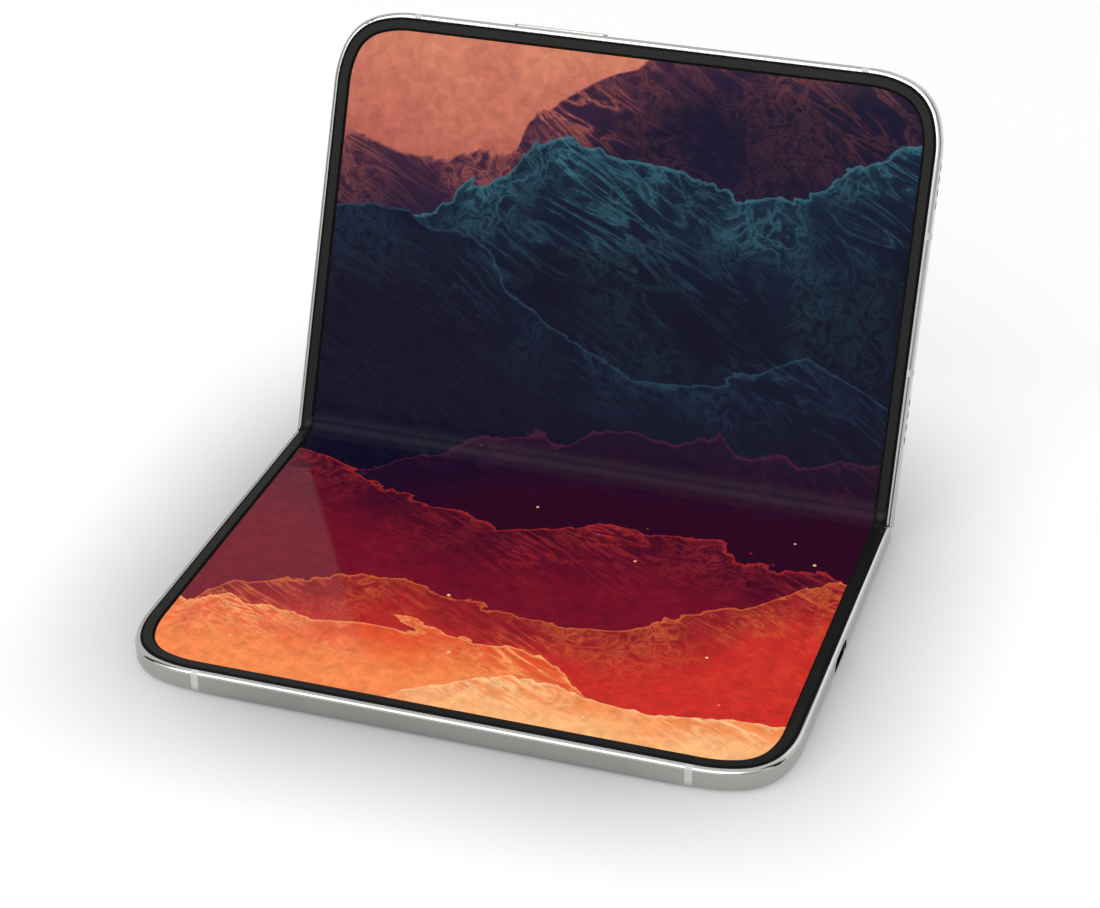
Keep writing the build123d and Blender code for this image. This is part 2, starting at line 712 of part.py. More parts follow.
# ---------------------------------------------------------------- lower half: inside
with BuildPart() as sub_board:
    with BuildSketch(LOWER.offset(-MIDPLATE_UNDER)):
        with Locations((LOWER_BOARD_X, CELL_Y)):
            Rectangle(LOWER_BOARD_WIDTH, CELL_LENGTH)
        with Locations((USB_NOTCH_X / 2 - SIDE_X, MIDDLE_Y)):
            Rectangle(USB_NOTCH_X, USB_WIDTH + 4 * USB_GAP, mode=Mode.SUBTRACT)
    extrude(amount=-BOARD)
keep(sub_board.part, "sub_board")

lower_cell_start = LOWER_BOARD_X + LOWER_BOARD_WIDTH / 2 + INNER_GAP
lower_cell_end = COVER_CAMERA_X - COVER_CAMERA_R - INNER_GAP
keep(cell(LOWER, lower_cell_start, lower_cell_end, CELL_THICKNESS), "lower_battery")

lower_speaker = (SPEAKER_X, MIDDLE_Y + COVER_CAMERA_R + INNER_GAP + SPEAKER_LENGTH / 2)
keep(
    hung_blocks(LOWER, [lower_speaker], SPEAKER_WIDTH, SPEAKER_LENGTH, CELL_THICKNESS),
    "lower_speaker",
)

# ---------------------------------------------------------------- hinge
keep(swing_arms(LOWER, -HALF_ANGLE), "lower_swing_arms")

with BuildPart() as spine_cover:
    with BuildSketch(side_plane(SPINE)):
        add(spine_section(SPINE_RADIUS))
        add(spine_section(SPINE_INNER), mode=Mode.SUBTRACT)
    extrude(amount=SPINE_HALF - CAP, both=True)
keep(spine_cover.part, "spine_cover")

with BuildPart() as spine_end_caps:
    with BuildSketch(side_plane(SPINE, SPINE_HALF - CAP)):
        add(spine_section(SPINE_RADIUS))
    extrude(amount=CAP)
    with BuildSketch(side_plane(SPINE, SPINE_HALF - CAP)):
        add(spine_section(SPINE_INNER - SEAT_GAP))
    extrude(amount=-CAP_PLUG)
    mirror(about=side_plane(SPINE))
keep(spine_end_caps.part, "spine_end_caps")

keep(Compound(children=[bracket(-1), bracket(1)]), "hinge_brackets")

keep(idler_gears(-IDLER_Y, 180 / TEETH + HALF_ANGLE), "first_idler_gears")
keep(idler_gears(IDLER_Y, -HALF_ANGLE), "second_idler_gears")

# ---------------------------------------------------------------- upper half: frame and keys
whole_upper = half_frame(UPPER)
upper_slabs = band_space(UPPER, FREE_BANDS + SIDE_BANDS)
keep(band_inserts(whole_upper, upper_slabs), "upper_antenna_bands")

with BuildPart() as upper_frame:
    add(whole_upper)
    add(upper_slabs, mode=Mode.SUBTRACT)
    with BuildSketch(side_plane(UPPER, CAVITY_X - WALL)) as slots:
        for group in (-SLOT_GROUP, SLOT_GROUP):
            with Locations((MIDDLE_Y + group, -SIDE_DEPTH)):
                with GridLocations(SLOT_PITCH, 0, SLOT_COUNT, 1):
                    Rectangle(SLOT_LENGTH, SLOT_HEIGHT)
        chamfer(slots.vertices(), SLOT_CORNER)
    extrude(amount=3 * WALL, mode=Mode.SUBTRACT)
    add(key_slot(POWER_SIDE, POWER_KEY_LENGTH), mode=Mode.SUBTRACT)
    add(key_slot(VOLUME_SIDE, VOLUME_KEY_LENGTH), mode=Mode.SUBTRACT)
keep(upper_frame.part, "upper_frame")

keep(side_key(POWER_SIDE, POWER_KEY_LENGTH), "power_key")
keep(side_key(VOLUME_SIDE, VOLUME_KEY_LENGTH), "volume_key")

switch_inset = WALL + 2 * KEY_GAP + KEY_FLANGE + KEY_TRAVEL + SWITCH_DEPTH / 2
with BuildPart() as key_switches:
    with BuildSketch(UPPER.offset(-MIDPLATE_UNDER)):
        with Locations((POWER_KEY_X, HALF_LENGTH - switch_inset)):
            Rectangle(SWITCH_LENGTH, SWITCH_DEPTH)
        with Locations((switch_inset - SIDE_X, VOLUME_KEY_Y)):
            Rectangle(SWITCH_DEPTH, SWITCH_LENGTH)
    extrude(amount=-(SIDE_DEPTH + KEY_HEIGHT / 2 - MIDPLATE_UNDER))
keep(key_switches.part, "key_switches")

with BuildPart() as speaker_mesh:
    with BuildSketch(side_plane(UPPER, CAVITY_X - MESH)):
        for group in (-SLOT_GROUP, SLOT_GROUP):
            with Locations((MIDDLE_Y + group, -SIDE_DEPTH)):
                Rectangle(SLOT_PITCH * SLOT_COUNT, 2 * SLOT_HEIGHT)
    extrude(amount=MESH)
keep(speaker_mesh.part, "speaker_mesh")

# ---------------------------------------------------------------- upper half: plates and screen
keep(midplate(UPPER), "upper_midplate")
keep(fold_plate(UPPER), "upper_fold_plate")
keep(screen_sheet(UPPER, BACKING_DEPTH, BACKING_THICKNESS), "upper_screen_backing")
keep(screen_sheet(UPPER, DISPLAY_DEPTH, DISPLAY_THICKNESS), "upper_display_panel")
keep(half_bezel(UPPER), "upper_bezel")
keep(display_fold(UPPER), "display_fold_upper")
keep(bezel_fold(UPPER), "bezel_fold_upper")
keep(hinge_flex(UPPER), "hinge_flex_upper")
keep(swing_arms(UPPER, 180 / TEETH + HALF_ANGLE), "upper_swing_arms")

# ---------------------------------------------------------------- upper half: outer side
keep(back_panel(UPPER, [(x, y, BARREL_RADIUS + BARREL_GAP) for x, y in LENSES]), "back_glass")

with BuildPart() as camera_plateau:
    with BuildSketch(UPPER.offset(-THICKNESS)):
        with Locations((PLATEAU_X, PLATEAU_Y)):
            RectangleRounded(PLATEAU_SIZE, PLATEAU_SIZE, PLATEAU_ROUND)
        with Locations(*LENSES):
            Circle(BARREL_RADIUS + BARREL_GAP, mode=Mode.SUBTRACT)
    extrude(amount=-PLATEAU_HEIGHT)
    outer_rim = camera_plateau.faces().sort_by(up_axis(UPPER))[0].outer_wire().edges()
    chamfer(outer_rim, PLATEAU_EDGE)
keep(camera_plateau.part, "camera_plateau")

with BuildPart() as camera_rings:
    with BuildSketch(UPPER.offset(-THICKNESS - PLATEAU_HEIGHT)):
        with Locations(*LENSES):
            Circle(RING_RADIUS)
            Circle(RING_RADIUS - RING_WALL, mode=Mode.SUBTRACT)
    extrude(amount=-RING_HEIGHT)
    outer_edges = camera_rings.edges().group_by(up_axis(UPPER))[0].group_by(SortBy.RADIUS)[-1]
    chamfer(outer_edges, RING_EDGE)
keep(camera_rings.part, "camera_rings")

with BuildPart() as camera_lenses:
    with BuildSketch(UPPER.offset(-THICKNESS - PLATEAU_HEIGHT)):
        with Locations(*LENSES):
            Circle(RING_RADIUS - RING_WALL - SEAT_GAP)
    extrude(amount=-LENS_GLASS)
keep(camera_lenses.part, "camera_lenses")

with BuildPart() as camera_modules:
    with BuildSketch(UPPER.offset(-MIDPLATE_UNDER)):
        with Locations(*LENSES):
            Rectangle(CAMERA_BODY, CAMERA_BODY)
    extrude(amount=-(CAVITY_DEPTH - PLATE_GAP))
    with BuildSketch(UPPER.offset(-FLOOR + PLATE_GAP)):
        with Locations(*LENSES):
            Circle(BARREL_RADIUS)
    extrude(amount=-(BACK_PANEL + PLATEAU_HEIGHT))
keep(camera_modules.part, "camera_modules")

with BuildPart() as flash_lens:
    with BuildSketch(UPPER.offset(-THICKNESS - PLATEAU_HEIGHT)):
        with Locations(FLASH):
            Circle(FLASH_RADIUS)
    extrude(amount=-LENS_GLASS / 2)
keep(flash_lens.part, "flash_lens")

# ---------------------------------------------------------------- upper half: inside
upper_cell_start = UPPER_BOARD_X + UPPER_BOARD_WIDTH / 2 + INNER_GAP
upper_cell_end = SPEAKER_X - SPEAKER_WIDTH / 2 - INNER_GAP
upper_cell_height = CAVITY_DEPTH - COIL_THICKNESS - PLATE_GAP
keep(cell(UPPER, upper_cell_start, upper_cell_end, upper_cell_height), "upper_battery")

with BuildPart() as charging_coil:
    with BuildSketch(UPPER.offset(-FLOOR)):
        with Locations(((upper_cell_start + upper_cell_end) / 2, CELL_Y)):
            Circle(COIL_OUTER)
            Circle(COIL_INNER, mode=Mode.SUBTRACT)
    extrude(amount=COIL_THICKNESS)
keep(charging_coil.part, "charging_coil")

with BuildPart() as main_board:
    with BuildSketch(UPPER.offset(-MIDPLATE_UNDER)):
        with Locations((UPPER_BOARD_X, UPPER_BOARD_Y)):
            Rectangle(UPPER_BOARD_WIDTH, UPPER_BOARD_LENGTH)
    extrude(amount=-BOARD)
keep(main_board.part, "main_board")

shield_width = (UPPER_BOARD_WIDTH - SHIELD_GAP) / 2 - SHIELD_GAP
with BuildPart() as shield_cans:
    with BuildSketch(UPPER.offset(-MIDPLATE_UNDER - BOARD)):
        with Locations((UPPER_BOARD_X, UPPER_BOARD_Y)):
            with GridLocations(shield_width + SHIELD_GAP, 0, 2, 1):
                Rectangle(shield_width, UPPER_BOARD_LENGTH - 2 * SHIELD_MARGIN)
    extrude(amount=-SHIELD_HEIGHT)
keep(shield_cans.part, "shield_cans")

speaker_places = [(SPEAKER_X, MIDDLE_Y + group) for group in (-SLOT_GROUP, SLOT_GROUP)]
speaker_height = CAVITY_DEPTH - PLATE_GAP
keep(
    hung_blocks(UPPER, speaker_places, SPEAKER_WIDTH, SPEAKER_LENGTH, speaker_height),
    "upper_speaker",
)
keep(
    hung_blocks(UPPER, [(SPEAKER_X, MIDDLE_Y)], MOTOR_WIDTH, MOTOR_LENGTH, speaker_height),
    "vibration_motor",
)
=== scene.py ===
"""Looks of the folding phone: materials, the bending screen, studio and camera."""

import math

import bpy
from mathutils import Matrix, Vector


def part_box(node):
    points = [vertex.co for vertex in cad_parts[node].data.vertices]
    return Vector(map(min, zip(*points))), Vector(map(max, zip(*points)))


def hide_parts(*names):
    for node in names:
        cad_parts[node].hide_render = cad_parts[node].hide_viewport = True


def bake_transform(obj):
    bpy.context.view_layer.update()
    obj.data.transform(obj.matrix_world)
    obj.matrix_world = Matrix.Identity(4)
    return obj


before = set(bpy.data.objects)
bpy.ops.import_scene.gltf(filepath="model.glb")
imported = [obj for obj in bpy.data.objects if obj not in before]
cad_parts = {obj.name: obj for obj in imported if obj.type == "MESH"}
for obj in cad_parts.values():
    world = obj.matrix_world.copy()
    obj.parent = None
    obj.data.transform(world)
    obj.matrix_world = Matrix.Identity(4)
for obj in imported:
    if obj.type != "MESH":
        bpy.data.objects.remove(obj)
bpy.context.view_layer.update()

# ---------------------------------------------------------------- sizes shared with the CAD, metres
WIDTH = 0.1206
HALF_LENGTH = 0.0851
THICKNESS = 0.0048
FOLD_ANGLE = math.radians(68.0)
AXIS_SPACING = 0.003
AXIS_DEPTH = 0.0012
DISPLAY_DEPTH = 0.0001
DISPLAY_THICKNESS = 0.00035
DISPLAY_MARGIN = 0.0014
FOLD_RADIUS = 0.0038
FOLD_REACH = 0.014
BEZEL_OUTER = 0.00095
BEZEL_WIDTH = 0.00255
BEZEL_RISE = 0.00025
BEZEL_SLOPE = 0.0005
BEZEL_REACH = 0.0036
FLEX_DEPTH = 0.00125
FLEX_THICKNESS = 0.00015
FLEX_WIDTH = 0.018
FLEX_END = 0.0166

HALF_ANGLE = FOLD_ANGLE / 2
AXIS_Y = AXIS_SPACING / 2
SIDE_X = WIDTH / 2
# On a half's own plane: where the fold's middle meets it, the centre of the screen's bend, and how
# far the screen's middle, once unrolled, lies from the plane's zero.
KINK_Y = AXIS_Y - (AXIS_Y - AXIS_DEPTH * math.sin(HALF_ANGLE)) / math.cos(HALF_ANGLE)
FOLD_CENTRE_Z = FOLD_RADIUS - DISPLAY_DEPTH
FOLD_CENTRE_Y = KINK_Y + FOLD_CENTRE_Z * math.tan(HALF_ANGLE)
SCREEN_SHIFT = FOLD_CENTRE_Y - FOLD_RADIUS * HALF_ANGLE


# ---------------------------------------------------------------- the two halves and the spine
def turned(angle):
    """Direction across the hinge, turned up from the flat by an angle."""
    return Vector((0, math.cos(angle), math.sin(angle)))


class Half:
    """A half's own plane: `away` from the hinge along the half, `out` of its screen."""

    def __init__(self, origin, away, out):
        self.origin = origin
        self.away = away
        self.out = out

    def point(self, x, y, z):
        return self.origin + Vector((x, 0, 0)) + self.away * y + self.out * z


LOWER_AXIS = Vector((0, HALF_LENGTH / 2 - AXIS_Y, THICKNESS - AXIS_DEPTH))
UPPER_AXIS = LOWER_AXIS + turned(HALF_ANGLE) * AXIS_SPACING
UPPER_OUT = turned(FOLD_ANGLE + math.pi / 2)
UPPER_ORIGIN = UPPER_AXIS - turned(FOLD_ANGLE) * AXIS_Y + UPPER_OUT * AXIS_DEPTH

LOWER_ORIGIN = Vector((0, HALF_LENGTH / 2, THICKNESS))

LOWER = Half(LOWER_ORIGIN, Vector((0, -1, 0)), Vector((0, 0, 1)))
UPPER = Half(UPPER_ORIGIN, turned(FOLD_ANGLE), UPPER_OUT)


# ---------------------------------------------------------------- node shorthand
ALONG_HINGE = (1.0, 0.0, 0.0)
WHITE = (1.0, 1.0, 1.0, 1.0)


class Graph:
    """Adds and joins shader nodes. An input may be a value or another node's output."""

    def __init__(self, tree):
        self.tree = tree
        tree.nodes.clear()

    def add(self, kind, inputs=(), **settings):
        node = self.tree.nodes.new("ShaderNode" + kind)
        for name, value in settings.items():
            setattr(node, name, value)
        for key, value in dict(inputs).items():
            if isinstance(value, bpy.types.NodeSocket):
                self.tree.links.new(value, node.inputs[key])
            else:
                node.inputs[key].default_value = value
        return node

    def math(self, operation, a, b=0.0, clamp=False):
        return self.add("Math", {0: a, 1: b}, operation=operation, use_clamp=clamp).outputs[0]

    def multiply_add(self, a, factor, plus):
        inputs = {0: a, 1: factor, 2: plus}
        return self.add("Math", inputs, operation="MULTIPLY_ADD").outputs[0]

    def wave(self, value, pitch):
        """Sine that comes round once in every `pitch`."""
        return self.math("SINE", self.math("MULTIPLY", value, 2 * math.pi / pitch))

    def dot(self, a, direction):
        node = self.add("VectorMath", {0: a, 1: direction}, operation="DOT_PRODUCT")
        return node.outputs["Value"]

    def length(self, vector):
        return self.add("VectorMath", {0: vector}, operation="LENGTH").outputs["Value"]

    def vector(self, x, y, z=0.0):
        return self.add("CombineXYZ", {0: x, 1: y, 2: z}).outputs[0]

    def step(self, value, low, high):
        """0 below `low`, 1 above `high` and smooth between them."""
        inputs = {"Value": value, "From Min": low, "From Max": high}
        return self.add("MapRange", inputs, interpolation_type="SMOOTHSTEP").outputs["Result"]

    def mix(self, factor, a, b, blend="MIX"):
        inputs = {"Factor": factor, 6: a, 7: b}
        return self.add("Mix", inputs, data_type="RGBA", blend_type=blend).outputs[2]

    def ramp(self, factor, stops):
        node = self.add("ValToRGB", {0: factor})
        elements = node.color_ramp.elements
        while len(elements) < len(stops):
            elements.new(1.0)
        for element, (place, colour) in zip(elements, stops):
            element.position = place
            element.color = colour
        return node.outputs[0]

    def noise(self, vector, scale, detail=3.0, roughness=0.5, distortion=0.0):
        inputs = {
            "Vector": vector, "Scale": scale, "Detail": detail, "Roughness": roughness,
            "Distortion": distortion,
        }
        return self.add("TexNoise", inputs).outputs[0]

    def where(self):
        """Position on the object, in metres."""
        return self.add("TexCoord").outputs["Object"]

    def place(self, scale=(1.0, 1.0, 1.0)):
        """Position on the object in metres, stretched by `scale`."""
        return self.add("Mapping", {"Vector": self.where(), "Scale": scale}).outputs[0]

    def from_middle(self, box):
        """Position counted from the middle of a box."""
        low, high = box
        inputs = {0: self.where(), 1: tuple((low + high) / 2)}
        return self.add("VectorMath", inputs, operation="SUBTRACT").outputs[0]

    def bump(self, height, distance, strength=1.0):
        inputs = {"Height": height, "Distance": distance, "Strength": strength}
        return self.add("Bump", inputs).outputs[0]

    def surface(self, **inputs):
        named = {name.replace("_", " "): value for name, value in inputs.items()}
        self.show(self.add("BsdfPrincipled", named))

    def show(self, shader, output="OutputMaterial"):
        """Joins a shader to the output."""
        self.tree.links.new(shader.outputs[0], self.add(output).inputs[0])

    def seen(self):
        """1 where the camera looks, also by way of metal or glass, and 0 for other light."""
        path = self.add("LightPath").outputs
        direct = self.math("MAXIMUM", path["Is Camera Ray"], path["Is Glossy Ray"])
        return self.math("MAXIMUM", direct, path["Is Transmission Ray"])


def rgb(red, green, blue):
    """Scene colour from 0-255 display values."""

    def linear(value):
        value /= 255
        return value / 12.92 if value <= 0.04045 else ((value + 0.055) / 1.055) ** 2.4

    return (linear(red), linear(green), linear(blue), 1.0)


def new_material(name):
    material = bpy.data.materials.new(name)
    material.use_nodes = True
    return material, Graph(material.node_tree)


# ---------------------------------------------------------------- metals and plastics
def metal(name, colour, dull, uneven, roughness, grain=(1.0, 1.0, 1.0)):
    """Metal whose tone and gloss vary a little along its grain."""
    material, graph = new_material(name)
    grains = graph.noise(graph.place(grain), scale=900.0, detail=4.0)
    clouds = graph.noise(graph.place(), scale=55.0, detail=2.0)
    graph.surface(
        Base_Color=graph.mix(graph.step(clouds, 0.3, 0.7), dull, colour),
        Metallic=1.0,
        Roughness=graph.multiply_add(grains, uneven, roughness),
        Normal=graph.bump(grains, distance=0.000004, strength=0.35),
    )
    return material


def plastic(name, colour, worn, roughness):
    """Moulded plastic with a fine grain and slightly uneven tone."""
    material, graph = new_material(name)
    grains = graph.noise(graph.place(), scale=2600.0, detail=2.0)
    clouds = graph.noise(graph.place(), scale=90.0, detail=3.0)
    graph.surface(
        Base_Color=graph.mix(graph.step(clouds, 0.25, 0.75), colour, worn),
        Roughness=graph.multiply_add(clouds, 0.12, roughness),
        Specular_IOR_Level=0.3,
        Normal=graph.bump(grains, distance=0.00001, strength=0.5),
    )
    return material


# Facing range between the painted black shade of the flanks and the charcoal top.
TOP_FACING = (0.80, 0.97)


def bezel_rubber():
    """Soft border of the screen: charcoal on top, with painted black shade on its sloping flanks."""
    material, graph = new_material("bezel_rubber")
    normal = graph.add("NewGeometry").outputs["Normal"]
    local = graph.add(
        "VectorTransform", {0: normal}, vector_type="NORMAL", convert_from="WORLD",
        convert_to="OBJECT",
    ).outputs[0]
    facing = [graph.dot(local, tuple(half.out)) for half in (LOWER, UPPER)]
    top = graph.step(graph.math("MAXIMUM", *facing), *TOP_FACING)
    grains = graph.noise(graph.place(), scale=3500.0, detail=2.0)
    clouds = graph.noise(graph.place(), scale=120.0, detail=3.0)
    charcoal = graph.mix(clouds, rgb(17, 17, 16), rgb(23, 23, 22))
    graph.surface(
        # The near-black on the flanks is painted shade for the grooves beside the border.
        Base_Color=graph.mix(top, rgb(5, 5, 5), charcoal),
        Roughness=graph.math("SUBTRACT", 0.9, graph.math("MULTIPLY", top, 0.5)),
        Specular_IOR_Level=0.12,
        Normal=graph.bump(grains, distance=0.000006, strength=0.5),
    )
    return material


def glass_skin(name, colour, tint, roughness, coat):
    """Coloured glass: a satin colour seen under a clear hard skin."""
    material, graph = new_material(name)
    clouds = graph.noise(graph.place(), scale=30.0, detail=3.0, roughness=0.55, distortion=0.4)
    fine = graph.noise(graph.place(), scale=4200.0, detail=1.0)
    graph.surface(
        Base_Color=graph.mix(graph.step(clouds, 0.3, 0.7), colour, tint),
        Roughness=roughness,
        Coat_Weight=coat,
        Coat_Roughness=0.03,
        Normal=graph.bump(fine, distance=0.000002, strength=0.3),
    )
    return material


def foil_cell():
    """Dark foil pouch with faint dents."""
    material, graph = new_material("foil_cell")
    dents = graph.noise(graph.place(), scale=160.0, detail=2.0, distortion=0.6)
    graph.surface(
        Base_Color=graph.mix(dents, rgb(38, 39, 42), rgb(58, 60, 64)),
        Metallic=0.6,
        Roughness=0.42,
        Normal=graph.bump(dents, distance=0.0001, strength=0.6),
    )
    return material


def circuit_board():
    """Green board with fine copper lines under its lacquer."""
    material, graph = new_material("circuit_board")
    cells = graph.add(
        "TexVoronoi", {"Vector": graph.place(), "Scale": 420.0}, feature="DISTANCE_TO_EDGE",
        distance="CHEBYCHEV",
    ).outputs["Distance"]
    lines = graph.step(cells, 0.09, 0.05)
    graph.surface(
        Base_Color=graph.mix(lines, rgb(16, 66, 44), rgb(48, 112, 70)),
        Roughness=0.35,
        Coat_Weight=0.4,
        Normal=graph.bump(lines, distance=0.00002, strength=0.5),
    )
    return material


WIRE_PITCH = 0.0006


def wound_copper():
    """Flat coil of fine copper wire."""
    material, graph = new_material("wound_copper")
    radius = graph.length(graph.from_middle(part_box("charging_coil")))
    height = graph.step(graph.wave(radius, WIRE_PITCH), -1.0, 1.0)
    graph.surface(
        Base_Color=graph.mix(height, rgb(96, 52, 30), rgb(206, 132, 84)),
        Metallic=0.9,
        Roughness=0.3,
        Normal=graph.bump(height, distance=0.0001, strength=0.8),
    )
    return material


WEAVE_PITCH = 0.00012


def woven_mesh():
    """Fine woven steel behind the speaker openings."""
    material, graph = new_material("woven_mesh")
    where = graph.where()
    warp = graph.wave(graph.dot(where, tuple(UPPER.away)), WEAVE_PITCH)
    weft = graph.wave(graph.dot(where, tuple(UPPER.out)), WEAVE_PITCH)
    wires = graph.step(graph.math("MAXIMUM", warp, weft), 0.1, 0.8)
    graph.surface(
        Base_Color=graph.mix(wires, rgb(3, 3, 3), rgb(30, 30, 31)),
        Roughness=0.5,
        Specular_IOR_Level=0.15,
        Normal=graph.bump(wires, distance=0.00003, strength=0.8),
    )
    return material


TRACK_PITCH = 0.0009


def amber_cable():
    """Thin amber film over fine copper tracks."""
    material, graph = new_material("amber_cable")
    across = graph.dot(graph.where(), ALONG_HINGE)
    tracks = graph.step(graph.wave(across, TRACK_PITCH), 0.0, 0.6)
    graph.surface(
        Base_Color=graph.mix(tracks, rgb(120, 66, 16), rgb(176, 98, 30)),
        Roughness=0.28,
        Coat_Weight=0.6,
        Normal=graph.bump(tracks, distance=0.00002, strength=0.4),
    )
    return material


LENS_OFFSET = 0.0076
LENS_RADIUS = 0.0053
RIB_PITCH = 0.00025
BARREL_INSIDE = 0.66
BARREL_OUTSIDE = 0.70
LENS_RINGS = (
    (0.0, rgb(2, 2, 3)), (0.22, rgb(3, 2, 5)), (0.26, rgb(52, 38, 96)), (0.30, rgb(14, 12, 30)),
    (0.44, rgb(6, 10, 20)), (0.52, rgb(18, 46, 72)), (0.56, rgb(8, 12, 18)),
    (BARREL_INSIDE, rgb(5, 5, 6)), (BARREL_OUTSIDE, rgb(20, 20, 22)), (1.0, rgb(12, 12, 13)),
)


def lens_glass():
    """Dark coated lenses: a black pupil inside coloured rings and a ribbed barrel."""
    material, graph = new_material("lens_glass")
    centred = graph.from_middle(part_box("camera_lenses"))
    offsets = []
    for axis in (ALONG_HINGE, tuple(UPPER.away)):
        reach = graph.math("ABSOLUTE", graph.dot(centred, axis))
        offsets.append(graph.math("SUBTRACT", reach, LENS_OFFSET))
    radius = graph.length(graph.vector(*offsets))
    share = graph.math("DIVIDE", radius, LENS_RADIUS)
    ribs = graph.step(graph.wave(radius, RIB_PITCH), -0.6, 0.6)
    barrel = graph.math("MULTIPLY", ribs, graph.step(share, BARREL_INSIDE, BARREL_OUTSIDE))
    rings = graph.ramp(share, LENS_RINGS)
    graph.surface(
        Base_Color=graph.mix(graph.math("MULTIPLY", barrel, 0.5), rings, rgb(40, 40, 42)),
        Roughness=0.05,
        Specular_IOR_Level=0.35,
        Normal=graph.bump(barrel, distance=0.00003, strength=0.15),
    )
    return material


FLASH_RING = 0.0004


def flash_glass():
    """Yellowish lens with the fine rings of a flash diffuser."""
    material, graph = new_material("flash_glass")
    radius = graph.length(graph.from_middle(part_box("flash_lens")))
    rings = graph.math("FRACT", graph.math("MULTIPLY", radius, 1 / FLASH_RING))
    graph.surface(
        Base_Color=graph.mix(rings, rgb(226, 214, 160), rgb(250, 244, 222)),
        Roughness=0.12,
        Coat_Weight=1.0,
        Normal=graph.bump(rings, distance=0.0001, strength=0.7),
    )
    return material


# ---------------------------------------------------------------- the picture on the screen
class Ridge:
    """One layer of the picture: a wavy edge and the colours below it, in millimetres."""

    def __init__(self, level, tilt, swell, wave, phase, top, deep, rim, depth, glow):
        self.level = level
        self.tilt = tilt
        self.swell = swell
        self.wave = wave
        self.phase = phase
        self.top = top
        self.deep = deep
        self.rim = rim
        self.depth = depth
        self.glow = glow


# Level, tilt, swell, wave, phase, colours at the top, deep down and on the rim, depth and glow.
RIDGES = (
    Ridge(78, 0.42, 6.0, 78, 0.4, rgb(50, 24, 52), rgb(13, 9, 40), rgb(200, 108, 92), 20, 0.8),
    Ridge(58, 0.28, 7.0, 104, 2.5, rgb(7, 22, 46), rgb(4, 4, 30), rgb(72, 134, 150), 28, 0.7),
    Ridge(30, -0.22, 8.0, 88, 4.3, rgb(5, 9, 34), rgb(9, 2, 28), rgb(46, 84, 106), 22, 0.4),
    Ridge(4, 0.16, 6.0, 120, 1.1, rgb(22, 3, 32), rgb(42, 0, 28), rgb(92, 32, 64), 20, 0.3),
    Ridge(-17, -0.14, 6.0, 92, 5.6, rgb(62, 2, 31), rgb(112, 9, 34), rgb(204, 54, 46), 26, 0.55),
    Ridge(-45, 0.24, 7.0, 84, 3.6, rgb(136, 17, 33), rgb(200, 42, 36), rgb(250, 128, 62), 24, 0.7),
    Ridge(-64, -0.16, 6.0, 96, 1.9, rgb(220, 76, 42), rgb(244, 132, 70), rgb(255, 196, 118), 18, 0.8),
    Ridge(-76, 0.20, 4.0, 74, 0.6, rgb(240, 136, 76), rgb(252, 182, 118), rgb(255, 222, 166), 14, 0.8),
)
SKY = ((0.0, rgb(104, 46, 66)), (0.5, rgb(178, 92, 82)), (1.0, rgb(216, 134, 104)))
SKY_FOOT = 40.0
SKY_HEIGHT = 44.0
WOBBLE = 26.0
RIM_WIDTH = 0.8
RIM_SHARE = 0.5
EDGE_BLUR = 0.15
VEIN_FADE = 0.85
SKY_SPREAD = 0.6
STRAND_TURN = math.radians(28)
STRAND_SCALE = (0.035, 0.16, 1.0)
STRAND_SHARPNESS = 22.0
STRAND_FAINTEST = 0.12
FINE_SHARPNESS = 10.0
FINE_STRENGTH = 0.6
GRAIN_DEPTH = 1.1
GRAIN_DARKEST = 0.45
SPARK_PITCH = 5.5
SPARK_EDGE = (0.075, 0.04)
SPARK_SHARE = 0.35
SPARK_REACH = 60.0
SPARK_COLOUR = rgb(255, 206, 140)


def thin_lines(graph, value, sharpness):
    """Bright threads where the noise passes its middle value."""
    fold = graph.math("ABSOLUTE", graph.multiply_add(value, 2.0, -1.0))
    return graph.math("POWER", graph.math("SUBTRACT", 1.0, fold), sharpness)


def long_strands(graph, where):
    """Long drawn-out threads, strong in places and faint elsewhere."""
    rotation = {"Vector": where, "Rotation": (0.0, 0.0, STRAND_TURN)}
    leaning = graph.add("Mapping", rotation).outputs[0]
    drawn = graph.add("Mapping", {"Vector": leaning, "Scale": STRAND_SCALE}).outputs[0]
    threads = graph.noise(drawn, scale=1.0, detail=7.0, roughness=0.62, distortion=1.6)
    cover = graph.noise(where, scale=0.03, detail=3.0, distortion=0.5)
    strength = graph.math("ADD", graph.step(cover, 0.38, 0.66), STRAND_FAINTEST)
    return graph.math("MULTIPLY", thin_lines(graph, threads, STRAND_SHARPNESS), strength)


def fine_strands(graph, where):
    """Patches of fine curled threads."""
    threads = graph.noise(where, scale=0.22, detail=6.0, roughness=0.6, distortion=1.2)
    patches = graph.step(graph.noise(where, scale=0.045, detail=2.0), 0.42, 0.62)
    lines = graph.math("MULTIPLY", thin_lines(graph, threads, FINE_SHARPNESS), patches)
    return graph.math("MULTIPLY", lines, FINE_STRENGTH)


def sky(graph, where, along):
    """Cloudy colours behind the ridges."""
    height = graph.math("DIVIDE", graph.math("SUBTRACT", along, SKY_FOOT), SKY_HEIGHT)
    clouds = graph.noise(where, scale=0.05, detail=6.0, roughness=0.6, distortion=0.9)
    place = graph.math("MULTIPLY", graph.math("ADD", height, clouds), SKY_SPREAD)
    return graph.ramp(place, SKY)


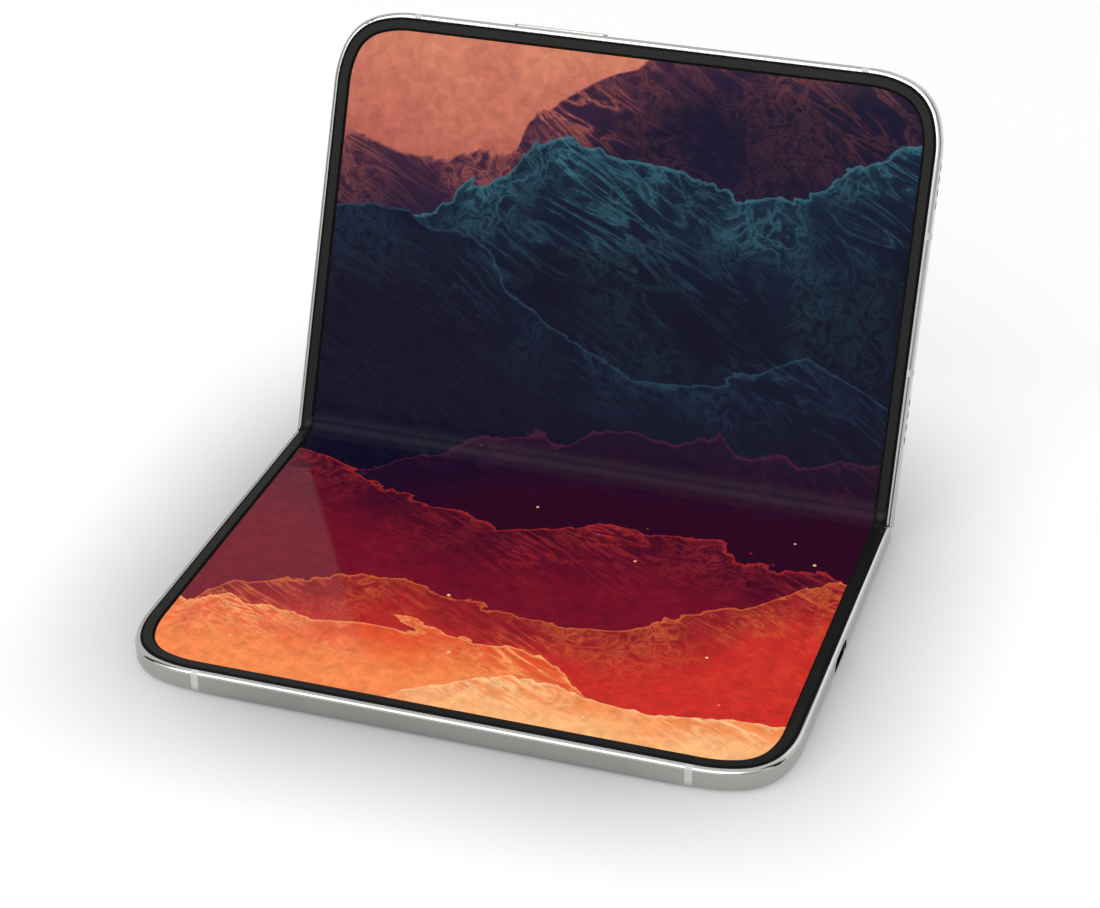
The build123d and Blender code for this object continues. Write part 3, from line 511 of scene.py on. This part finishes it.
def ridge_layer(graph, ridge, across, along, wobble, strands, below):
    """Lays one ridge over the colours `below` it and returns the new colour."""
    turns = graph.multiply_add(across, 2 * math.pi / ridge.wave, ridge.phase)
    swell = graph.math("MULTIPLY", graph.math("SINE", turns), ridge.swell)
    slope = graph.multiply_add(across, ridge.tilt, ridge.level)
    edge = graph.math("ADD", graph.math("ADD", slope, swell), wobble)
    depth = graph.math("SUBTRACT", edge, along)
    fade = graph.step(graph.math("DIVIDE", depth, ridge.depth), 0.0, 1.0)
    body = graph.mix(fade, ridge.top, ridge.deep)
    near = graph.math("SUBTRACT", 1.0, graph.math("MULTIPLY", fade, VEIN_FADE))
    veins = graph.math("MULTIPLY", strands, graph.math("MULTIPLY", near, ridge.glow), clamp=True)
    body = graph.mix(veins, body, ridge.rim)
    line = graph.math("SUBTRACT", 1.0, graph.math("DIVIDE", depth, RIM_WIDTH), clamp=True)
    body = graph.mix(graph.math("MULTIPLY", line, RIM_SHARE), body, ridge.rim)
    return graph.mix(graph.step(depth, -EDGE_BLUR, EDGE_BLUR), below, body)


def grained(graph, where, colour):
    """The colour with a fine uneven grain."""
    grain = graph.noise(where, scale=0.35, detail=7.0, roughness=0.65, distortion=0.5)
    shade = graph.multiply_add(grain, GRAIN_DEPTH, GRAIN_DARKEST)
    return graph.mix(1.0, colour, graph.vector(shade, shade, shade), "MULTIPLY")


def sparks(graph, where, along, colour):
    """Scatters small glowing specks, more of them low on the screen."""
    cells = graph.add("TexVoronoi", {"Vector": where, "Scale": 1 / SPARK_PITCH, "Randomness": 1.0})
    dot = graph.step(cells.outputs["Distance"], *SPARK_EDGE)
    chance = graph.add("SeparateXYZ", {0: cells.outputs["Color"]}).outputs[0]
    share = graph.math("MULTIPLY", graph.step(along, SPARK_REACH, -SPARK_REACH), SPARK_SHARE)
    lit = graph.math("LESS_THAN", chance, share)
    return graph.mix(graph.math("MULTIPLY", dot, lit), colour, SPARK_COLOUR)


def picture(graph, across, along):
    """Colour of the screen's picture at a place on the flat screen, in millimetres."""
    where = graph.vector(across, along)
    slow = graph.noise(where, scale=0.03, detail=5.0, roughness=0.55, distortion=0.8)
    wobble = graph.math("MULTIPLY", graph.math("SUBTRACT", slow, 0.5), WOBBLE)
    strands = graph.math("MAXIMUM", long_strands(graph, where), fine_strands(graph, where))
    colour = sky(graph, where, along)
    for ridge in RIDGES:
        colour = ridge_layer(graph, ridge, across, along, wobble, strands, colour)
    return sparks(graph, where, along, grained(graph, where, colour))


MILLIMETRES = 1000.0
SCREEN_BLACK = (0.003, 0.003, 0.004, 1.0)
FLAT_GLOSS = {"Roughness": 0.06, "Specular_IOR_Level": 0.065}
BEND_GLOSS = {"Roughness": 0.3, "Specular_IOR_Level": 0.045}


def lit_surface(graph, across, along, gloss):
    """Dark glossy surface that glows with the picture."""
    graph.surface(
        Base_Color=SCREEN_BLACK,
        Emission_Color=picture(graph, across, along),
        Emission_Strength=1.0,
        **gloss,
    )


def flat_screen(name, half):
    """Screen of a half, with the picture read from the half's plane."""
    material, graph = new_material(name)
    where = graph.where()
    across = graph.math("MULTIPLY", graph.dot(where, ALONG_HINGE), MILLIMETRES)
    start = half.origin.dot(half.away) + SCREEN_SHIFT
    away = graph.math("SUBTRACT", graph.dot(where, tuple(half.away)), start)
    along = graph.math("MULTIPLY", away, -MILLIMETRES if half is LOWER else MILLIMETRES)
    lit_surface(graph, across, along, FLAT_GLOSS)
    return material


def bending_screen(name):
    """Screen over the fold, with the picture read from the strip's UV map."""
    material, graph = new_material(name)
    flat = graph.add("UVMap", uv_map="screen").outputs[0]
    place = graph.add("SeparateXYZ", {0: flat}).outputs
    across = graph.math("MULTIPLY", place[0], MILLIMETRES)
    along = graph.math("MULTIPLY", place[1], MILLIMETRES)
    lit_surface(graph, across, along, BEND_GLOSS)
    return material


# ---------------------------------------------------------------- bending pieces
FOLD_STEPS = 14
FLAT_STEPS = 18
SCREEN_COLUMNS = 24
FLEX_COLUMNS = 2
DIP = 0.00022
DIP_PLACE = 0.0048
DIP_SPREAD = 0.0014
SHARP_ANGLE = math.radians(35)
BLEND_START = FOLD_CENTRE_Y + 0.001
BLEND_END = KINK_Y * 0.2


def fold_profile(depth, reach, dip=0.0):
    """Points (y, z, s) of a sheet's face from `reach` to the middle of the fold."""
    radius = FOLD_CENTRE_Z + depth
    points = []
    for i in range(FLAT_STEPS):
        y = reach + (FOLD_CENTRE_Y - reach) * i / FLAT_STEPS
        sink = dip * math.exp(-(((y - DIP_PLACE) / DIP_SPREAD) ** 2))
        points.append((y, -depth - sink, y - SCREEN_SHIFT))
    for i in range(FOLD_STEPS + 1):
        angle = HALF_ANGLE * i / FOLD_STEPS
        y = FOLD_CENTRE_Y - radius * math.sin(angle)
        z = FOLD_CENTRE_Z - radius * math.cos(angle)
        points.append((y, z, FOLD_RADIUS * (HALF_ANGLE - angle)))
    return points


def make_object(name, vertices, faces, material, smooth=True):
    mesh = bpy.data.meshes.new(name)
    mesh.from_pydata([tuple(v) for v in vertices], [], faces)
    mesh.validate()
    for polygon in mesh.polygons:
        polygon.use_smooth = smooth
    mesh.materials.append(material)
    obj = bpy.data.objects.new(name, mesh)
    bpy.context.scene.collection.objects.link(obj)
    return obj


def swept_strip(name, half, face, back, sections, material):
    """Closed strip between two profiles, swept along the hinge through `sections` of x."""
    rows = len(face)
    loop = [(y, z) for y, z, _ in face] + [(y, z) for y, z, _ in reversed(back)]
    size = len(loop)
    vertices = [half.point(x, y, z) for x in sections for y, z in loop]
    faces = []
    for column in range(len(sections) - 1):
        for i in range(size):
            a = column * size + i
            b = column * size + (i + 1) % size
            faces.append((a, b, b + size, a + size))
    last = (len(sections) - 1) * size
    for i in range(rows - 1):
        faces.append((i, size - 1 - i, size - 2 - i, i + 1))
        faces.append((last + i + 1, last + size - 2 - i, last + size - 1 - i, last + i))
    obj = make_object(name, vertices, faces, material)
    add_screen_map(obj, face, sections, half)
    mark_sharp(obj)
    return obj


def add_screen_map(obj, face, sections, half):
    """Writes each corner's place on the flat screen into a UV map, in metres."""
    sign = -1.0 if half is LOWER else 1.0
    lengths = [sign * s for _, _, s in face]
    lengths += list(reversed(lengths))
    layer = obj.data.uv_layers.new(name="screen")
    for corner in obj.data.loops:
        column, row = divmod(corner.vertex_index, len(lengths))
        layer.data[corner.index].uv = (sections[column], lengths[row])


def mark_sharp(obj):
    """Keeps the strip's long rims crisp while its bend stays smooth."""
    modifier = obj.modifiers.new("Edges", "EDGE_SPLIT")
    modifier.split_angle = SHARP_ANGLE


def fold_pair(name, node, depth, thickness, reach, sections, material, dip=0.0):
    """The two bending strips of one layer, each between a half and the spine."""
    for half, suffix in ((LOWER, "lower"), (UPPER, "upper")):
        face = fold_profile(depth, reach, dip)
        back = fold_profile(depth + thickness, reach)
        obj = swept_strip(f"{name}_{suffix}", half, face, back, sections, material)
        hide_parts(f"{node}_{suffix}")
        bend(obj, half)


def bend(obj, half):
    """Bakes a strip's placement into its mesh."""
    start = half.point(0, BLEND_START, 0)
    end = half.point(0, BLEND_END, 0)
    if half is LOWER:
        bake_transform(obj)
    else:
        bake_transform(obj)


def even_steps(reach, count):
    """Evenly spaced places from -reach to reach."""
    return [-reach + 2 * reach * i / count for i in range(count + 1)]


def bezel_section(side):
    """Cross-section of the border beside the fold: two flanks and a flat top."""
    inner = SIDE_X - BEZEL_OUTER - BEZEL_WIDTH
    outer = SIDE_X - BEZEL_OUTER
    corners = (
        (inner, -DISPLAY_DEPTH),
        (inner + BEZEL_SLOPE, BEZEL_RISE),
        (outer - BEZEL_SLOPE, BEZEL_RISE),
        (outer, -DISPLAY_DEPTH),
    )
    return [(side * x, z) for x, z in corners]


def bezel_strip(name, half, side, material):
    """One soft end of the border, from its half to the middle of the fold."""
    rails = [(x, fold_profile(-z, BEZEL_REACH)) for x, z in bezel_section(side)]
    steps = len(rails[0][1])
    count = len(rails)
    vertices = []
    for i in range(steps):
        for x, profile in rails:
            y, z, _ = profile[i]
            vertices.append(half.point(x, y, z))
    faces = []
    for i in range(steps - 1):
        for j in range(count):
            a = i * count + j
            b = i * count + (j + 1) % count
            faces.append((a, b, b + count, a + count))
    faces.append(tuple(range(count)))
    faces.append(tuple(reversed(range((steps - 1) * count, steps * count))))
    obj = make_object(name, vertices, faces, material)
    mark_sharp(obj)
    return obj


def bezel_folds(material):
    for half, suffix in ((LOWER, "lower"), (UPPER, "upper")):
        for side, hand in ((-1, "left"), (1, "right")):
            obj = bezel_strip(f"bezel_bend_{suffix}_{hand}", half, side, material)
            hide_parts(f"bezel_fold_{suffix}")
            bend(obj, half)


# ---------------------------------------------------------------- materials of the CAD pieces
def dress():
    """Gives the CAD nodes listed here their finish."""
    polished = metal(
        "polished_frame", rgb(181, 180, 177), rgb(172, 171, 168), uneven=0.06, roughness=0.12
    )
    satin_steel = metal(
        "satin_steel", rgb(170, 172, 176), rgb(150, 152, 156), uneven=0.18, roughness=0.26,
        grain=(1, 8, 1),
    )
    spine_metal = metal(
        "spine_metal", rgb(216, 216, 214), rgb(198, 198, 196), uneven=0.12, roughness=0.16,
        grain=(1, 12, 12),
    )
    plate = metal(
        "plate_alloy", rgb(150, 152, 156), rgb(128, 130, 134), uneven=0.2, roughness=0.32,
        grain=(6, 1, 1),
    )
    shield = metal(
        "shield_tin", rgb(190, 190, 188), rgb(168, 168, 166), uneven=0.16, roughness=0.28
    )
    # The port's steel shell is painted near black, as shade inside the opening.
    steel_darkened_as_shade = metal("steel_darkened_as_shade", rgb(46, 46, 48), rgb(34, 34, 36), uneven=0.3, roughness=0.2)
    antenna = plastic("antenna_plastic", rgb(214, 214, 212), rgb(204, 204, 202), roughness=0.34)
    black_plastic = plastic("black_plastic", rgb(18, 18, 19), rgb(28, 28, 29), roughness=0.42)
    backing = plastic("screen_backing", rgb(26, 26, 28), rgb(36, 36, 38), roughness=0.5)
    back = glass_skin(
        "back_glass_skin", rgb(226, 227, 229), rgb(212, 214, 217), roughness=0.34, coat=0.5
    )
    outer = glass_skin("outer_glass_skin", rgb(9, 9, 11), rgb(13, 13, 16), roughness=0.12, coat=1.0)
    plateau = glass_skin(
        "plateau_skin", rgb(214, 215, 217), rgb(204, 205, 208), roughness=0.3, coat=0.6
    )
    finishes = {
        polished: ("lower_frame", "upper_frame", "power_key", "volume_key", "camera_rings"),
        antenna: ("lower_antenna_bands", "upper_antenna_bands"),
        spine_metal: ("spine_cover", "spine_end_caps"),
        satin_steel: (
            "lower_swing_arms", "upper_swing_arms", "hinge_brackets", "first_idler_gears",
            "second_idler_gears",
        ),
        steel_darkened_as_shade: ("usb_receptacle",),
        plate: ("lower_midplate", "upper_midplate", "lower_fold_plate", "upper_fold_plate"),
        shield: ("shield_cans", "vibration_motor"),
        black_plastic: (
            "usb_tongue", "lower_speaker", "upper_speaker", "key_switches", "camera_modules",
            "cover_camera",
        ),
        backing: ("lower_screen_backing", "upper_screen_backing", "cover_display"),
        back: ("back_glass",),
        outer: ("cover_glass",),
        plateau: ("camera_plateau",),
        foil_cell(): ("lower_battery", "upper_battery"),
        circuit_board(): ("main_board", "sub_board"),
        wound_copper(): ("charging_coil",),
        woven_mesh(): ("speaker_mesh",),
        lens_glass(): ("camera_lenses",),
        flash_glass(): ("flash_lens",),
        flat_screen("screen_lower", LOWER): ("lower_display_panel",),
        flat_screen("screen_upper", UPPER): ("upper_display_panel",),
    }
    for material, names in finishes.items():
        for name in names:
            set_material(name, material)


def set_material(name, material):
    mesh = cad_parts[name].data
    mesh.materials.clear()
    mesh.materials.append(material)


# ---------------------------------------------------------------- studio
FLOOR_SIZE = 6.0
FLOOR_COLOUR = 0.62
FLOOR_GLOW = 0.50
WORLD_LIGHT = 0.62
# The wide soft shade of the photograph's floor, and the floor that the lower half covers.
SHADE_DEPTH = 0.92
SHADE_SOFT = 0.04
SHADE_SHIFT = 0.0015
SHADE_FRONT = 0.045
SHADE_BACK = 0.0705
COVER_EDGE = 0.0025
COVER_ROUND = 0.02


def painted_footprint_shadow(graph, place):
    """Painted wide soft shadow round the place where the object stands: 1 far off, less beside it."""
    x = graph.math("ABSOLUTE", graph.math("ADD", place[0], SHADE_SHIFT))
    y = place[1]
    sides = graph.step(x, SIDE_X + SHADE_SOFT, SIDE_X - SHADE_SOFT)
    front = graph.step(y, -SHADE_FRONT - SHADE_SOFT, -SHADE_FRONT + SHADE_SOFT)
    back = graph.step(y, SHADE_BACK + SHADE_SOFT, SHADE_BACK - SHADE_SOFT)
    cover = graph.math("MULTIPLY", sides, graph.math("MULTIPLY", front, back))
    return graph.math("SUBTRACT", 1.0, graph.math("MULTIPLY", cover, SHADE_DEPTH))


def open_floor(graph, place):
    """0 on the floor that the lower half covers, and 1 outside it: sets the painted shade under the
    object.
    """
    reach = []
    for value, side in ((place[0], SIDE_X), (place[1], HALF_LENGTH / 2)):
        past = graph.math("SUBTRACT", graph.math("ABSOLUTE", value), side - COVER_ROUND)
        reach.append(graph.math("MAXIMUM", past, 0.0))
    far = graph.length(graph.vector(*reach))
    return graph.step(far, COVER_ROUND - COVER_EDGE, COVER_ROUND)


def floor_material():
    """Pale matte floor with a painted wide soft shadow round the object, and a glow that only what
    looks at it sees, cut under the lower half as painted shade.
    """
    material, graph = new_material("studio_floor")
    place = graph.add("SeparateXYZ", {0: graph.where()}).outputs
    # The floor's colour and its glow are both darkened by the painted shadow round the object.
    shade = painted_footprint_shadow(graph, place)
    pale = graph.math("MULTIPLY", shade, FLOOR_COLOUR)
    matte = graph.add("BsdfDiffuse", {"Color": graph.vector(pale, pale, pale)})
    strength = graph.math("MULTIPLY", graph.math("MULTIPLY", graph.seen(), FLOOR_GLOW), shade)
    # Where the lower half covers the floor the glow is cut: painted shade under the object, seen in
    # the metal's reflections.
    strength = graph.math("MULTIPLY", strength, open_floor(graph, place))
    glow = graph.add("Emission", {"Color": WHITE, "Strength": strength})
    graph.show(graph.add("AddShader", {0: matte.outputs[0], 1: glow.outputs[0]}))
    return material


def studio_floor():
    """Floor that shows as plain white, keeps the object's shadow and carries a painted wide soft
    shadow round it.
    """
    half = FLOOR_SIZE / 2
    corners = [(-half, -half, 0), (half, -half, 0), (half, half, 0), (-half, half, 0)]
    floor = make_object("studio_floor", corners, [(0, 1, 2, 3)], floor_material(), smooth=False)


def studio_world():
    """Even surroundings: white where they are seen, and a plain level of light on the object."""
    world = bpy.data.worlds.new("studio")
    bpy.context.scene.world = world
    world.use_nodes = True
    graph = Graph(world.node_tree)
    strength = graph.multiply_add(graph.seen(), 1.0 - WORLD_LIGHT, WORLD_LIGHT)
    graph.show(graph.add("Background", {"Color": WHITE, "Strength": strength}), "OutputWorld")


def direction(azimuth, elevation):
    """Unit vector, with the azimuth counted from +X towards +Y, in degrees."""
    a = math.radians(azimuth)
    e = math.radians(elevation)
    return Vector((math.cos(a) * math.cos(e), math.sin(a) * math.cos(e), math.sin(e)))


class Panel:
    """Flat rectangle that faces the object, placed in degrees and metres."""

    def __init__(self, azimuth, elevation, distance, width, height):
        self.towards = direction(azimuth, elevation)
        self.middle = self.towards * distance
        self.width = width
        self.height = height


# Azimuth, elevation, distance, width and height.
KEY_PANEL = Panel(-99.0, 45.0, 1.0, 1.2, 0.66)
KEY_RADIANCE = 2.1
BLACK_CARDS = {
    "card_left": Panel(-158.0, 30.0, 1.0, 0.36, 1.16),
    "card_right": Panel(6.0, 30.0, 1.0, 0.36, 1.16),
    "card_side": Panel(-50.0, 4.5, 1.0, 0.95, 0.26),
    "card_back": Panel(108.0, 10.0, 1.0, 1.20, 0.22),
}
FRONT_PANEL = Panel(-106.0, 46.0, 1.4, 2.5, 1.1)
FRONT_GLOW = 2.1
REAR_PANEL = Panel(70.0, 33.0, 1.4, 0.95, 0.75)
REAR_GLOW = 1.5


def softbox(name, panel, radiance):
    """Rectangular lamp that faces the object."""
    lamp = bpy.data.lights.new(name, "AREA")
    lamp.shape = "RECTANGLE"
    lamp.size = panel.width
    lamp.size_y = panel.height
    lamp.energy = radiance * math.pi * panel.width * panel.height
    obj = bpy.data.objects.new(name, lamp)
    obj.location = panel.middle
    obj.rotation_euler = (-panel.towards).to_track_quat("-Z", "Y").to_euler()
    bpy.context.scene.collection.objects.link(obj)


def card(name, panel, material):
    """Flat card that faces the object and shows only in reflections."""
    towards = panel.towards
    across = Vector((-towards.y, towards.x, 0)).normalized() * (panel.width / 2)
    up = towards.cross(across).normalized() * (panel.height / 2)
    foot = panel.middle - up
    head = panel.middle + up
    corners = [foot - across, foot + across, head + across, head - across]
    obj = make_object(name, corners, [(0, 1, 2, 3)], material, smooth=False)
    obj.visible_camera = False
    obj.visible_diffuse = False
    obj.visible_shadow = False


def black_card_material():
    material, graph = new_material("card_black")
    graph.surface(Base_Color=rgb(22, 22, 22), Roughness=0.9, Specular_IOR_Level=0.0)
    return material


def white_card_material(name, strength):
    material, graph = new_material(name)
    graph.show(graph.add("Emission", {"Color": WHITE, "Strength": strength}))
    return material


def studio_cards():
    """Black cards give the polished metal its dark accents, and white ones its bright rims."""
    black = black_card_material()
    for name, panel in BLACK_CARDS.items():
        card(name, panel, black)
    card("card_front", FRONT_PANEL, white_card_material("card_white", FRONT_GLOW))
    card("card_rear", REAR_PANEL, white_card_material("card_pale", REAR_GLOW))


# ---------------------------------------------------------------- camera
CAMERA_PLACE = Vector((0.13958, -0.40967, 0.28256))
CAMERA_FORWARD = Vector((-0.27258133, 0.84073093, -0.46783643))
CAMERA_UP = Vector((-0.14455038, 0.44494514, 0.88381503))
LENS = 92.59
SENSOR = 36.0
SHIFT_X = -0.00086
SHIFT_Y = -0.0937
CLIP_START = 0.01


def studio_camera():
    """Camera at the photograph's place, with its slightly raised framing."""
    data = bpy.data.cameras.new("studio_camera")
    data.lens = LENS
    data.sensor_width = SENSOR
    data.shift_x = SHIFT_X
    data.shift_y = SHIFT_Y
    data.clip_start = CLIP_START
    camera = bpy.data.objects.new("studio_camera", data)
    forward = CAMERA_FORWARD.normalized()
    right = forward.cross(CAMERA_UP).normalized()
    up = right.cross(forward)
    camera.matrix_world = Matrix(
        (
            (right.x, up.x, -forward.x, CAMERA_PLACE.x),
            (right.y, up.y, -forward.y, CAMERA_PLACE.y),
            (right.z, up.z, -forward.z, CAMERA_PLACE.z),
            (0.0, 0.0, 0.0, 1.0),
        )
    )
    bpy.context.scene.collection.objects.link(camera)
    bpy.context.scene.camera = camera


# ================================================================ the scene
bpy.context.scene.view_settings.view_transform = "Standard"
dress()
fold_pair(
    "display_bend", "display_fold", DISPLAY_DEPTH, DISPLAY_THICKNESS, FOLD_REACH,
    even_steps(SIDE_X - DISPLAY_MARGIN, SCREEN_COLUMNS), bending_screen("screen_bend"), DIP,
)
bezel_material = bezel_rubber()
for node in ("lower_bezel", "upper_bezel"):
    set_material(node, bezel_material)
bezel_folds(bezel_material)
fold_pair(
    "flex_bend", "hinge_flex", FLEX_DEPTH, FLEX_THICKNESS, FLEX_END,
    even_steps(FLEX_WIDTH / 2, FLEX_COLUMNS), amber_cable(),
)
studio_floor()
studio_world()
studio_cards()
softbox("key_softbox", KEY_PANEL, KEY_RADIANCE)
studio_camera()
